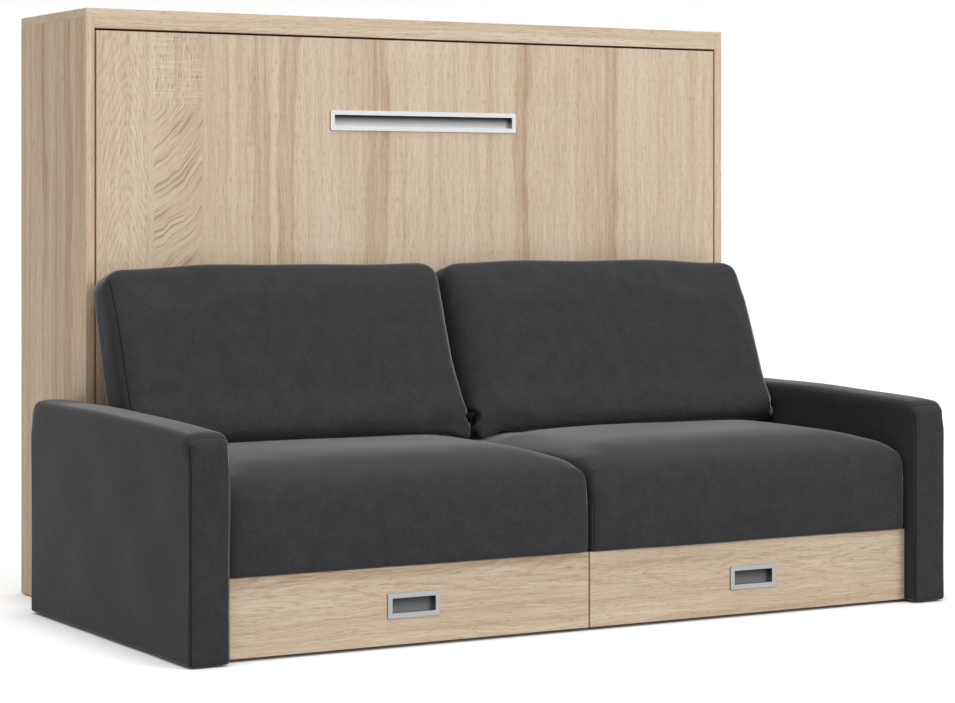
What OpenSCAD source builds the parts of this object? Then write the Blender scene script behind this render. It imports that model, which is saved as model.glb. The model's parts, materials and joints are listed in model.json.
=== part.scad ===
// Wall bed that folds down sideways over a two seat sofa.
// The origin lies on the floor under the middle of the whole piece.
// +X runs along the width, +Y points to the wall and +Z points up.

/* [Cabinet] */
// Depth of the cabinet from its front plane to the wall
cab_d = 500; // [490:10:560]
// Thickness of the sides and the top
case_t = 25; // [22:1:25]
// Thickness of the bed's front panel and of all other boards
board_t = 18; // [16:1:20]
// Height of the narrow rail under the top
top_rail_h = 30; // [20:1:45]
// Gap round the bed's front panel
panel_gap = 6; // [4:0.5:8]
// Gap under the bed's front panel, whose lower edge swings down as it folds
sweep_gap = 8; // [8:0.5:12]
// Slit between a bed rail and a cabinet side, which holds a gas spring
bed_slit = 26; // [24:1:32]
// Thickness of the back panel
back_t = 8; // [6:1:10]
// Height of the rear rail that is screwed to the wall
rear_rail_h = 100; // [90:5:140]
// Radius of a wall screw hole
wall_hole_r = 4; // [3:0.5:5]
// Distance between the two wall screws of one end
wall_hole_rise = 60; // [40:5:70]
// Distance from a cabinet side to the nearest wall screw
wall_hole_inset = 110; // [60:5:200]

/* [Bed] */
// Length of the mattress
mattress_l = 2000; // [1900:10:2000]
// Width of the mattress
mattress_w = 1200; // [1100:10:1200]
// Thickness of the mattress
mattress_t = 160; // [120:5:165]
// Radius of the mattress edges
mattress_r = 25; // [15:1:40]
// Height of the bed rails behind the front panel
rail_h = 40; // [36:1:46]
// Thickness of the steel bed rails
rail_t = 6; // [4:1:7]
// Height of the slats' upper face above the front panel's rear face
slat_seat = 30; // [26:1:34]
// Thickness of a slat
slat_t = 8; // [6:1:10]
// Width of a slat
slat_w = 68; // [50:1:75]
// Number of slats
slat_count = 16; // [12:1:18]
// Radius of the bed's pivot pins
pin_r = 10; // [8:0.5:11]
// Distance of the bed's pivot behind the front plane
bed_pivot_in = 35; // [33:1:38]
// Distance from the bed's pivot down to the mattress's lower edge
bed_below = 280; // [260:5:320]

/* [Handles] */
// Length of the long pull on the bed
pull_l = 620; // [400:10:800]
// Height of the long pull
pull_h = 58; // [50:1:70]
// Distance of the long pull's middle below the front panel's top edge
pull_drop = 236; // [100:1:400]
// Length of a drawer pull
cup_l = 152; // [120:1:200]
// Height of a drawer pull
cup_h = 64; // [52:1:80]
// Width of the frame round a pull
pull_border = 13; // [9:0.5:15]
// Thickness of the frame that stands proud of the board
pull_proud = 4; // [1:0.5:4]
// Board left behind a pull's cup
pull_floor = 3; // [2:0.5:6]
// Wall of a pull's cup
pull_wall = 1.5; // [1:0.25:2]

/* [Sofa] */
// Distance from the cabinet's front plane to the front of the arms
sofa_d = 950; // [900:10:1000]
// Distance that the arms reach back beside the cabinet
arm_back = 130; // [100:5:200]
// Thickness of an arm
arm_t = 112; // [90:1:120]
// Height of an arm above the seat's crown
arm_rise = 100; // [80:5:130]
// Radius of an arm's long top edges
arm_edge_r = 24; // [15:1:30]
// Radius of an arm's front and rear corners
arm_corner_r = 34; // [25:1:45]
// Thickness of the padding round an arm's frame
arm_pad = 20; // [18:1:22]
// Height of the drawer fronts' top edge above the floor
base_h = 208; // [190:2:230]
// Gap under the drawer fronts
toe_gap = 9; // [8:1:15]
// Height of the floor glides
glide_h = 4; // [3:0.5:6]
// Distance from the arms' front to the drawer fronts
front_step = 44; // [40:1:60]
// Thickness of the deck under the seat
deck_t = 16; // [14:1:18]
// Height of the seat's crown above the floor
seat_z = 490; // [470:1:500]
// Rise of the seat's crown over its shoulders
seat_crown = 14; // [8:1:36]
// Fall of the seat's top towards its rear
seat_fall = 30; // [25:1:40]
// Radius of the seat's upper edges
seat_r = 50; // [36:1:60]
// Distance from the cabinet's front plane to the seat cushion's rear
seat_rear = 40; // [35:1:60]

/* [Back cushions] */
// Length of a back cushion from its lower to its upper edge
rest_l = 510; // [490:5:510]
// Thickness of a back cushion with its board
rest_t = 140; // [130:2:142]
// Thickness of the board behind a back cushion
rest_board_t = 10; // [8:1:12]
// Radius of a back cushion's edges
rest_r = 34; // [28:1:40]
// Rise of a back cushion's crown over its edges
rest_crown = 16; // [10:1:20]
// Angle that a back cushion leans from upright
rest_lean = 20; // [18:1:21]
// Height that a back cushion's lower rear edge is cut up, so that it clears the seat
rest_cut = 45; // [40:1:50]
// Distance of a back cushion's pivot behind its front face
rest_pivot_in = 30; // [28:1:32]
// Depth of a back cushion's lower front edge below the seat's crown
rest_sit = 13; // [10:1:14]
// Distance of a back cushion's upper rear corner from the cabinet, before it is rounded
rest_clear = 3.4; // [3:0.2:12]
// Radius of a back cushion's pivot pins
rest_pin_r = 5; // [4:0.5:6]

/* [Drawers] */
// Gap between the two drawer fronts
front_gap = 5; // [3:0.5:8]
// Gap between a drawer box and the board behind it
drawer_rear_gap = 130; // [60:10:230]
// Gap between a drawer box and the deck over it
drawer_over = 23; // [15:1:40]
// Height of a drawer box above the lower edge of its front
drawer_under = 30; // [24:1:40]
// Thickness of a drawer box's sides
drawer_t = 12; // [10:1:15]
// Thickness of a drawer's bottom
drawer_floor_t = 6; // [4:1:8]
// Thickness of a drawer runner
runner_t = 12.5; // [12:0.5:14]
// Height of a drawer runner
runner_h = 45; // [36:1:50]
// Length by which a runner is shorter than its drawer box
runner_short = 50; // [20:10:150]

/* [Gas springs] */
// Radius of a gas spring's tube
gas_tube_r = 9; // [8:0.5:9]
// Radius of a gas spring's rod
gas_rod_r = 4; // [3:0.5:4.5]
// Length of a gas spring's tube
gas_tube_l = 235; // [225:5:240]
// Distance of the tube's stud behind the front plane
gas_stud_in = 230; // [220:5:240]
// Distance of the tube's stud above the bed's pivot
gas_stud_up = 325; // [320:5:335]
// Distance of the rod's stud from the bed's pivot along the bed
gas_arm = 150; // [145:1:155]
// Distance of the rod's stud behind the bed's pivot
gas_arm_in = 8; // [6:1:10]

/* [Hidden] */
$fn = 48;

// Clearances
soft_gap = 0.3;     // soft pieces beside hard ones
fit_gap = 0.5;      // boards and metal that move past each other
run_gap = 0.05;     // radial play of a pin in its bush
over = 1;           // overrun of every cut

// Colours
oak = [0.82, 0.74, 0.62];
cloth = [0.24, 0.25, 0.27];
alloy = [0.78, 0.79, 0.80];
steel = [0.45, 0.46, 0.48];
timber = [0.85, 0.76, 0.60];
ticking = [0.93, 0.92, 0.89];
black = [0.12, 0.12, 0.13];

// Clearances between neighbours
rail_play = 3;          // mattress inside its rails
panel_over = 2;         // front panel over the upper bed rail
panel_under = 1;        // front panel under the lower bed rail
stop_play = 2;          // stops and stop pegs beside the bed rails and the sides
base_side_gap = 2;      // base beside the arms
base_step = 2;          // base boards behind the drawer fronts
seat_side_gap = 3;      // seat cushions beside the arms
seat_mid = 4;           // seat cushions beside the middle
seat_over = 4;          // seat cushions in front of the drawer fronts
lug_side_gap = 4;       // back cushion lugs beside the arms
lug_play = 1;           // back cushion lugs beside the centre bracket
fold_gap = 5;           // back cushions folded over the seat
bed_gap = 8;            // bed folded over the back cushions
pull_fit = 0.3;         // a pull in its recess
end_play = 1;           // end of a pin in its blind bush

// Back cushion, and the heights of its pivot and of the bed's pivot
fold_z = seat_z + fold_gap;
rest_pivot_z = fold_z + rest_pivot_in;
rest_pivot_up = (rest_pivot_in + fold_gap + rest_sit) / cos(rest_lean);
rest_front = -rest_pivot_in;
rest_rear = rest_t - rest_pivot_in;
rest_low = -rest_pivot_up;
rest_high = rest_l - rest_pivot_up;
rest_pivot_out = rest_high * sin(rest_lean) + rest_rear * cos(rest_lean) + rest_clear;
rest_corner = 40;
rest_draw = 4;
rest_board_in = 25;
bed_pivot_z = fold_z + rest_t + bed_gap + bed_pivot_in;

// Bed, upright behind its front panel
slat_face = board_t + slat_seat;
mattress_face = slat_face + mattress_t;
mattress_low = bed_pivot_z - bed_below;
mattress_top = mattress_low + mattress_w;
rail_half = mattress_l / 2 + rail_play;
rail_low = mattress_low - rail_play - rail_t;
rail_high = mattress_top + rail_play;
panel_low = rail_low - panel_under;
panel_top = rail_high + rail_t + panel_over;
pull_z = panel_top - pull_drop;
pull_depth = board_t - pull_floor;
pull_corner = 4;
slat_pitch = (mattress_l - slat_w) / (slat_count - 1);
slat_play = 12;
holder_t = 3;
holder_l = 30;
centre_rail_h = 30;
strap_t = 2;
strap_share = 0.75;
strap_place_share = 0.7;
strap_w = strap_share * (slat_pitch - slat_w - 2 * holder_t);
strap_x = slat_x(floor(slat_count * strap_place_share)) + slat_pitch / 2;

// Cabinet round the bed
inner_half = rail_half + rail_t + bed_slit;
half_w = inner_half + case_t;
panel_half = inner_half - panel_gap;
lower_panel_top = panel_low - sweep_gap;
rail_top_z = panel_top + panel_gap + top_rail_h;
cab_h = rail_top_z + case_t;
front_y = (sofa_d + cab_d) / 2 - cab_d;
cab_glide_shares = [0.15, 0.85];

// Pivots of the bed
pin_head_t = 2.5;
pin_head_r = 15;
bush_wall = 3.5;
plate_t = 4;
plate_w = 50;
plate_l = 120;
plate_hole_share = 0.38;

// Stops that the bed meets when it is up and when it is down
peg_r = 6;
peg_up = 50;
peg_along = bed_below - peg_up;
peg_in = 10;
stop_w = 30;
stop_t = 24;
stop_down = 150;
stop_z = panel_top - stop_down;

// Arms, base and seats
arm_in = half_w + soft_gap;
arm_h = seat_z + arm_rise;
drawer_face = sofa_d - front_step;
base_t = board_t;
base_half = half_w - base_side_gap;
base_front = drawer_face - board_t - base_step;
base_glide_shares = [0.2, 0.95];
deck_z = base_h - deck_t;
seat_half = half_w - seat_side_gap;
seat_front = drawer_face + seat_over;
seat_low = base_h + soft_gap;
seat_corner = 40;
seat_draw = 5;
spacer_share = 0.8;
bolt_r = 4;
bolt_head_r = 8;
bolt_head_t = 4;
bolt_shares = [0.15, 0.85];

// Hinges of the back cushions
board_low = rest_low + rest_cut + rest_r / 3;
lug_t = 3;
lug_r = 14;
lug_wide = 65;
hub_half = 10;
hub_r = 12;
bracket_half = 3;
bracket_w = 70;
bracket_sink = 50;
lug_mid = hub_half + lug_play;
lug_end = half_w - lug_side_gap;
rest_mid = lug_mid + lug_t + soft_gap;
rest_end = lug_end - lug_t - soft_gap;
rest_bush_wall = 3;
rest_pin_l = 20;

// Drawers
slide_t = (runner_t - fit_gap) / 2;
slide_share = 0.7;
drawer_mid = base_t / 2 + runner_t;
drawer_end = base_half - base_t - runner_t;
drawer_low = toe_gap + drawer_under;
drawer_h = deck_z - drawer_over - drawer_low;
drawer_front_y = -(drawer_face - board_t);
drawer_d = drawer_face - board_t - seat_rear - board_t - drawer_rear_gap;
drawer_x = (front_gap / 2 + base_half) / 2;
drawer_pull_z = (toe_gap + base_h) / 2;
runner_l = drawer_d - runner_short;
runner_z = drawer_low + drawer_h / 2;

// Gas springs, each in the slit between a bed rail and a cabinet side
gas_x = (rail_half + rail_t + inner_half) / 2;
gas_fix = [gas_stud_in, bed_pivot_z + gas_stud_up];
gas_up = [bed_pivot_in + gas_arm_in, bed_pivot_z - gas_arm];
gas_run = gas_up - gas_fix;
gas_reach = norm(gas_run);
gas_tilt = atan2(gas_run[0], -gas_run[1]);
gas_eye_r = 9;
gas_eye_t = 4;
gas_eye_wall = 1;
gas_rod_eye_t = gas_rod_r + gas_eye_wall;
gas_start = gas_eye_r;
gas_hold = 24;
gas_rod_l = gas_reach - gas_start - gas_tube_l + gas_hold;
stud_r = 4;

// Rings of a cushion: the steps of a corner and of a side, and the heights of the
// rings over the round edges and over the crown
ring_steps = 4;
side_steps = 4;
ring_count = 4 * (ring_steps + side_steps);
edge_shares = [0.08, 0.3, 0.6, 0.85, 1];
crown_shares = [0.06, 0.16, 0.32, 0.55, 0.85];
centre_share = 0.96;
least_corner_share = 0.12;

// Moves what is counted from the cabinet's front plane into the part's frame
module placed() {
    translate([0, front_y, 0]) children();
}

// Gives the left copy of what is drawn on the right
module left() {
    mirror([1, 0, 0]) children();
}

// Box between two corners
module block(low, high) {
    translate(low) cube(high - low);
}

// Outline in Y and Z drawn along X
module along_x(start, length) {
    translate([start, 0, 0]) rotate([90, 0, 90]) linear_extrude(length) children();
}

// Outline in X and Z drawn along Y
module along_y(start, length) {
    translate([0, start + length, 0]) rotate([90, 0, 0]) linear_extrude(length) children();
}

// Rod along X
module rod_x(start, length, r) {
    translate([start, 0, 0]) rotate([0, 90, 0]) cylinder(h = length, r = r);
}

// Rectangle between two corners with round corners
module round_rect(low, high, r) {
    size = high - low;
    translate(low + [r, 0]) square([size[0] - 2 * r, size[1]]);
    translate(low + [0, r]) square([size[0], size[1] - 2 * r]);
    for (x = [low[0] + r, high[0] - r]) {
        for (y = [low[1] + r, high[1] - r]) {
            translate([x, y]) circle(r = r);
        }
    }
}

// One of the cabinet's sides
module cabinet_side() {
    difference() {
        block([inner_half, 0, glide_h], [half_w, cab_d, rail_top_z]);
        groove = cab_d - rear_rail_offset();
        block([inner_half - over, groove - back_t - soft_gap, glide_h + case_t],
              [inner_half + back_groove(), groove + soft_gap, rail_top_z + over]);
        translate([0, bed_pivot_in, bed_pivot_z])
            rod_x(inner_half - over, case_t / 2 + over, pin_r + bush_wall);
    }
}

// Depth of the back panel's groove in a side
function back_groove() = case_t / 3;

// Distance of the back panel's rear face from the wall
function rear_rail_offset() = board_t - back_t;

module cabinet_side_left() {
    color(oak) placed() left() cabinet_side();
}

module cabinet_side_right() {
    color(oak) placed() cabinet_side();
}

module cabinet_top() {
    color(oak) placed() block([-half_w, 0, rail_top_z], [half_w, cab_d, cab_h]);
}

module cabinet_top_rail() {
    color(oak) placed() block([-inner_half, 0, rail_top_z - top_rail_h], [inner_half, board_t, rail_top_z]);
}

module cabinet_lower_panel() {
    color(oak) placed() block([-inner_half, 0, glide_h], [inner_half, board_t, lower_panel_top]);
}

// Thin back panel, held in grooves in the two sides
module cabinet_back() {
    reach = inner_half + back_groove() - soft_gap;
    rear = cab_d - rear_rail_offset();
    color(timber) placed() block([-reach, rear - back_t, glide_h + case_t + soft_gap],
                                 [reach, rear, rail_top_z - rear_rail_h]);
}

// Rear rail under the top, with two wall screw holes at each end
module cabinet_rear_rail() {
    low = rail_top_z - rear_rail_h;
    color(timber) placed() difference() {
        block([-inner_half, cab_d - board_t, low], [inner_half, cab_d, rail_top_z]);
        for (side = [-1, 1]) {
            for (rise = [-1, 1]) {
                x = side * (half_w - wall_hole_inset);
                z = low + rear_rail_h / 2 + rise * wall_hole_rise / 2;
                translate([x, cab_d - board_t - over, z]) rotate([-90, 0, 0])
                    cylinder(h = board_t + 2 * over, r = wall_hole_r);
            }
        }
    }
}

// Rail across the cabinet's floor in front of the back panel
module cabinet_base_rail() {
    rear = cab_d - board_t - soft_gap;
    color(timber) placed()
        block([-inner_half, rear - board_t, glide_h], [inner_half, rear, glide_h + rear_rail_h]);
}

// Round glides under the cabinet, the arms and the base
module floor_glides() {
    cab_x = half_w - case_t / 2;
    arm_x = arm_in + arm_t / 2;
    base_x = base_half - base_t / 2;
    color(black) placed() {
        for (side = [-1, 1]) {
            for (share = cab_glide_shares) {
                translate([side * cab_x, cab_d * share, 0]) cylinder(h = glide_h, r = case_t * 0.4);
            }
            for (y = [-sofa_d * 0.9, arm_back / 4]) {
                translate([side * arm_x, y, 0]) cylinder(h = glide_h, r = arm_t / 4);
            }
        }
        for (x = [-base_x, 0, base_x]) {
            for (share = base_glide_shares) {
                translate([x, -base_front * share, 0]) cylinder(h = glide_h, r = base_t * 0.4);
            }
        }
    }
}

// Runs its children on both sides
module both() {
    children();
    left() children();
}

// Steel plates on the sides, one round each pivot
module pivot_plates() {
    color(steel) placed() both() difference() {
        along_x(inner_half - plate_t, plate_t)
            round_rect([bed_pivot_in - plate_w / 2, bed_pivot_z - plate_l / 2],
                       [bed_pivot_in + plate_w / 2, bed_pivot_z + plate_l / 2], plate_w / 5);
        translate([0, bed_pivot_in, bed_pivot_z])
            rod_x(inner_half - plate_t - over, plate_t + 2 * over, pin_r + bush_wall);
        for (z = [-1, 1]) {
            translate([0, bed_pivot_in, bed_pivot_z + z * plate_l * plate_hole_share])
                rod_x(inner_half - plate_t - over, plate_t + 2 * over, plate_t * 0.6);
        }
    }
}

// Plastic bushes in the pivot plates
module pivot_bushes() {
    start = rail_half + rail_t + fit_gap;
    length = inner_half + case_t / 2 - start;
    color(black) placed() both() translate([0, bed_pivot_in, bed_pivot_z]) difference() {
        rod_x(start, length, pin_r + bush_wall);
        rod_x(start - over, length + over - bush_wall, pin_r + run_gap);
    }
}

// Rubber buffers on the cabinet's sides
module bed_stops() {
    start = rail_half + rail_t + stop_play;
    down = [bed_pivot_in + peg_along, bed_pivot_z + peg_in + peg_r + soft_gap];
    up = [board_t + soft_gap, stop_z];
    color(black) placed() both() along_x(start, inner_half - start) {
        round_rect([down[0] - stop_w / 2, down[1]], [down[0] + stop_w / 2, down[1] + stop_t], peg_r / 2);
        round_rect(up, up + [stop_t, stop_w], peg_r / 2);
    }
}

// Studs on the cabinet's sides that carry the gas springs
module gas_spring_studs() {
    color(steel) placed() both() translate([0, gas_fix[0], gas_fix[1]]) {
        rod_x(gas_x - gas_tube_r, inner_half - gas_x + gas_tube_r, stud_r);
        rod_x(gas_x + gas_eye_t, inner_half - gas_x - gas_eye_t, stud_r * 2);
    }
}

// Moves a spring drawn along -Z from its stud into its place
module gas_place() {
    translate([gas_x, gas_fix[0], gas_fix[1]]) rotate([gas_tilt, 0, 0]) children();
}

// Tube with a round eye at its stud and a blind bore for the rod
module gas_tube() {
    gas_place() difference() {
        union() {
            translate([0, 0, -gas_start - gas_tube_l]) cylinder(h = gas_tube_l, r = gas_tube_r);
            rod_x(-gas_eye_t, 2 * gas_eye_t - fit_gap, gas_eye_r);
            block([-gas_eye_t, -stud_r, -2 * gas_start],
                  [gas_eye_t - fit_gap, stud_r, -stud_r - gas_eye_wall]);
        }
        rod_x(-gas_eye_r, 2 * gas_eye_r, stud_r + run_gap);
        translate([0, 0, -gas_start - gas_tube_l - over])
            cylinder(h = gas_tube_l - gas_start + over, r = gas_rod_r + soft_gap);
    }
}

module gas_spring_tube_left() {
    color(black) placed() left() gas_tube();
}

module gas_spring_tube_right() {
    color(black) placed() gas_tube();
}

// Rod with a flat eye that lies beside the bed's stud
module gas_rod() {
    gas_place() difference() {
        union() {
            translate([0, 0, -gas_reach]) cylinder(h = gas_rod_l, r = gas_rod_r);
            translate([0, 0, -gas_reach]) rod_x(-gas_rod_eye_t, 2 * gas_rod_eye_t, gas_eye_r);
        }
        translate([0, 0, -gas_reach]) rod_x(-gas_eye_r, 2 * gas_eye_r, stud_r + run_gap);
    }
}

module gas_spring_rod_left() {
    color(alloy) placed() left() gas_rod();
}

module gas_spring_rod_right() {
    color(alloy) placed() gas_rod();
}

// Recess for a pull, cut into a board whose face is at Y = 0
module pull_cut(w, h, depth) {
    play = pull_wall + pull_fit;
    low = [-w / 2 + pull_border - play, -h / 2 + pull_border - play];
    along_y(-over, depth + over + pull_fit) round_rect(low, -low, pull_corner / 2 + play);
}

// Framed cup pull whose frame rests on a board at Y = 0
module cup_pull(w, h, depth) {
    inner = [w / 2 - pull_border, h / 2 - pull_border];
    wall = [pull_wall, pull_wall];
    difference() {
        union() {
            along_y(-pull_proud, pull_proud) round_rect([-w / 2, -h / 2], [w / 2, h / 2], pull_corner);
            along_y(-pull_proud / 2, depth + pull_proud / 2)
                round_rect(-inner - wall, inner + wall, pull_corner / 2 + pull_wall);
        }
        along_y(-pull_proud - over, depth + pull_proud + over - pull_wall)
            round_rect(-inner, inner, pull_corner / 2);
    }
}

// Front panel of the bed, which closes the cabinet
module bed_panel() {
    color(oak) placed() difference() {
        block([-panel_half, 0, panel_low], [panel_half, board_t, panel_top]);
        translate([0, 0, pull_z]) pull_cut(pull_l, pull_h, pull_depth);
    }
}

module bed_pull() {
    color(alloy) placed() translate([0, 0, pull_z]) cup_pull(pull_l, pull_h, pull_depth);
}

// Steel rail at one end of the mattress, with its stop peg and its stud for the gas spring
module bed_side_rail() {
    color(steel) placed() difference() {
        union() {
            block([rail_half, board_t, rail_low], [rail_half + rail_t, board_t + rail_h, rail_high + rail_t]);
            translate([0, bed_pivot_in + peg_in, bed_pivot_z - peg_along])
                rod_x(rail_half, inner_half - rail_half - stop_play, peg_r);
            translate([0, gas_up[0], gas_up[1]])
                rod_x(rail_half, gas_x - gas_rod_eye_t - fit_gap - rail_half, stud_r);
        }
        translate([0, bed_pivot_in, bed_pivot_z]) rod_x(rail_half - over, rail_t + 2 * over, pin_r + run_gap);
    }
}

module bed_side_rail_left() {
    left() bed_side_rail();
}

module bed_side_rail_right() {
    bed_side_rail();
}

// The two long rails that carry the slats' ends
module bed_long_rails() {
    color(steel) placed() {
        for (z = [rail_low, rail_high]) {
            block([-rail_half, board_t, z], [rail_half, board_t + rail_h, z + rail_t]);
        }
    }
}

// Middle rail under the slats
module bed_centre_rail() {
    mid = mattress_low + mattress_w / 2;
    color(steel) placed() block([-rail_half, board_t, mid - centre_rail_h / 2],
                                [rail_half, slat_face - slat_t, mid + centre_rail_h / 2]);
}

// X position of one slat
function slat_x(i) = -mattress_l / 2 + slat_w / 2 + i * slat_pitch;

module bed_slats() {
    color(timber) placed() {
        for (i = [0:slat_count - 1]) {
            block([slat_x(i) - slat_w / 2, slat_face - slat_t, mattress_low + slat_play],
                  [slat_x(i) + slat_w / 2, slat_face, mattress_top - slat_play]);
        }
    }
}

// Plastic holders between the slats' ends and the long rails
module slat_holders() {
    color(black) placed() {
        for (i = [0:slat_count - 1]) {
            for (end = [0, 1]) {
                rail = end == 0 ? rail_low + rail_t : rail_high;
                tip = end == 0 ? mattress_low + slat_play : mattress_top - slat_play;
                inward = end == 0 ? holder_l : -holder_l;
                low = min(rail, tip + inward);
                high = max(rail, tip + inward);
                difference() {
                    block([slat_x(i) - slat_w / 2 - holder_t, board_t, low],
                          [slat_x(i) + slat_w / 2 + holder_t, slat_face - soft_gap, high]);
                    block([slat_x(i) - slat_w / 2, slat_face - slat_t, min(tip, tip + inward * 2)],
                          [slat_x(i) + slat_w / 2, slat_face + over, max(tip, tip + inward * 2)]);
                }
            }
        }
    }
}

module mattress() {
    color(ticking) placed() along_x(-mattress_l / 2, mattress_l)
        round_rect([slat_face + soft_gap, mattress_low], [mattress_face, mattress_top], mattress_r);
}

// Straps over the mattress, fixed to the long rails
module mattress_straps() {
    low = [-mattress_t, mattress_low - soft_gap];
    high = [mattress_face + soft_gap, mattress_top + soft_gap];
    rim = [strap_t, strap_t];
    hem_y = board_t + rail_h / 2;
    color(black) placed() {
        for (side = [-1, 1]) {
            along_x(side * strap_x - strap_w / 2, strap_w) difference() {
                round_rect(low - rim, high + rim, mattress_r + strap_t);
                round_rect(low, high, mattress_r);
                translate([hem_y - 2 * mattress_t, mattress_low - rail_h])
                    square([2 * mattress_t, mattress_w + 2 * rail_h]);
            }
        }
    }
}

// Pins through the bed's rails into the bushes
module bed_pivot_pins() {
    start = rail_half - pin_head_t;
    color(alloy) placed() both() translate([0, bed_pivot_in, bed_pivot_z]) {
        rod_x(start, inner_half + case_t / 2 - bush_wall - end_play - start, pin_r);
        rod_x(start, pin_head_t, pin_head_r);
    }
}

// Arm seen from the side, from the front and from above, which together give its round edges
module arm_shape() {
    low = [-sofa_d, glide_h];
    high = [arm_back, arm_h];
    big = arm_h + sofa_d;
    intersection() {
        along_x(arm_in, arm_t) difference() {
            translate([low[0], low[1]]) square([high[0] - low[0], high[1] - low[1]]);
            for (end = [0, 1]) {
                corner = end == 0 ? low[0] : high[0];
                way = end == 0 ? 1 : -1;
                difference() {
                    translate([corner, high[1]]) square(2 * arm_corner_r, center = true);
                    translate([corner + way * arm_corner_r, high[1] - arm_corner_r]) circle(r = arm_corner_r);
                    translate([corner + way * arm_corner_r - (end == 0 ? 0 : big), high[1] - big])
                        square(big);
                    translate([corner - big / 2, high[1] - arm_corner_r - big]) square(big);
                }
            }
        }
        along_y(-big, 2 * big)
            round_rect([arm_in, -arm_h], [arm_in + arm_t, arm_h], arm_edge_r);
        translate([0, 0, -over]) linear_extrude(big)
            round_rect([arm_in, -sofa_d], [arm_in + arm_t, arm_back], arm_edge_r);
    }
}

// Room inside an arm for its frame
module arm_room(gap, low) {
    block([arm_in + arm_pad - gap, -sofa_d + arm_pad - gap, low],
          [arm_in + arm_t - arm_pad + gap, arm_back - arm_pad + gap, arm_h - arm_pad - arm_pad / 2 + gap]);
}

module arm() {
    color(cloth) placed() difference() {
        arm_shape();
        arm_room(0, glide_h - over);
        translate([0, -rest_pivot_out, rest_pivot_z])
            rod_x(arm_in - over, arm_pad + 2 * over, rest_pin_r + rest_bush_wall + soft_gap);
        bolt_places() rod_x(arm_in - over, arm_pad + 2 * over, bolt_r + fit_gap);
    }
}

module arm_left() {
    left() arm();
}

module arm_right() {
    arm();
}

module arm_frame() {
    color(timber) placed() arm_room(-soft_gap, glide_h);
}

module arm_frame_left() {
    left() arm_frame();
}

module arm_frame_right() {
    arm_frame();
}

// Places of the bolts that hold the arms' frames to the base sides
module bolt_places() {
    for (share = bolt_shares) {
        translate([0, -base_front * share, runner_z - runner_h]) children();
    }
}

module arm_bolts() {
    base_in = base_half - base_t;
    color(steel) placed() both() bolt_places() {
        rod_x(base_in, arm_in + arm_pad - base_in, bolt_r);
        rod_x(base_in - bolt_head_t, bolt_head_t, bolt_head_r);
    }
}

// Upright board of the base
module base_side() {
    color(timber) placed() difference() {
        block([base_half - base_t, -base_front, glide_h], [base_half, -seat_rear - board_t, deck_z]);
        bolt_places() rod_x(base_half - base_t - over, base_t + 2 * over, bolt_r + run_gap);
    }
}

module base_side_left() {
    left() base_side();
}

module base_side_right() {
    base_side();
}

module base_divider() {
    color(timber) placed() difference() {
        block([-base_t / 2, -base_front, glide_h], [base_t / 2, -seat_rear - board_t, deck_z]);
        bracket_slot();
    }
}

module base_back() {
    color(timber) placed()
        block([-base_half, -seat_rear - board_t, glide_h], [base_half, -seat_rear, deck_z]);
}

// Blocks that join the base to the cabinet's lower panel
module sofa_spacers() {
    wide = 2 * seat_rear;
    color(timber) placed() {
        for (side = [-1, 0, 1]) {
            x = side * inner_half * spacer_share;
            block([x - wide / 2, -seat_rear, deck_z - 1.5 * seat_rear], [x + wide / 2, 0, deck_z]);
        }
    }
}

module seat_deck() {
    color(timber) placed() difference() {
        block([-base_half, -base_front, deck_z], [base_half, -seat_rear, base_h]);
        bracket_slot();
    }
}

// Slot in the deck and the divider for the centre bracket
module bracket_slot() {
    block([-bracket_half - run_gap, -rest_pivot_out - bracket_w / 2 - run_gap, deck_z - bracket_sink],
          [bracket_half + run_gap, -rest_pivot_out + bracket_w / 2 + run_gap, base_h + over]);
}

// Bracket between the seats that carries the inner ends of both back cushions
module centre_hinge_bracket() {
    color(steel) placed() difference() {
        union() {
            along_x(-bracket_half, 2 * bracket_half) polygon([
                [-rest_pivot_out - bracket_w / 2, deck_z - bracket_sink],
                [-rest_pivot_out + bracket_w / 2, deck_z - bracket_sink],
                [-rest_pivot_out + bracket_w / 2, base_h + bracket_w],
                [-rest_pivot_out + hub_r, rest_pivot_z],
                [-rest_pivot_out - hub_r, rest_pivot_z],
                [-rest_pivot_out - bracket_w / 2, base_h + bracket_w]]);
            translate([0, -rest_pivot_out, rest_pivot_z]) rod_x(-hub_half, 2 * hub_half, hub_r);
        }
        translate([0, -rest_pivot_out, rest_pivot_z])
            rod_x(-hub_half - over, 2 * hub_half + 2 * over, rest_pin_r + run_gap);
    }
}

// Points of one ring of a cushion, a rectangle with round corners drawn in between them
function ring_corner(i) = [[1, 1], [-1, 1], [-1, -1], [1, -1]][i];
function side_shape(t) = 4 * t * (1 - t);
function ring(hw, hh, r, draw) = [
    for (c = [0:3]) each concat(
        [for (k = [0:ring_steps]) let (
            a = 90 * (c + k / ring_steps),
            m = ring_corner(c)
        ) [m[0] * (hw - r) + r * cos(a), m[1] * (hh - r) + r * sin(a)]],
        [for (k = [1:side_steps - 1]) let (
            t = k / side_steps,
            a = 90 * (c + 1),
            m = ring_corner(c),
            n = ring_corner((c + 1) % 4),
            p = [m[0] * (hw - r), m[1] * (hh - r)],
            q = [n[0] * (hw - r), n[1] * (hh - r)],
            dir = [cos(a), sin(a)]
        ) p + (q - p) * t + dir * (r - draw * side_shape(t))]
    )
];

// Inset of a ring on a round edge, from its height as a share of the radius
function edge_in(share, r) = r * (1 - sqrt(1 - pow(1 - share, 2)));

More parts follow.
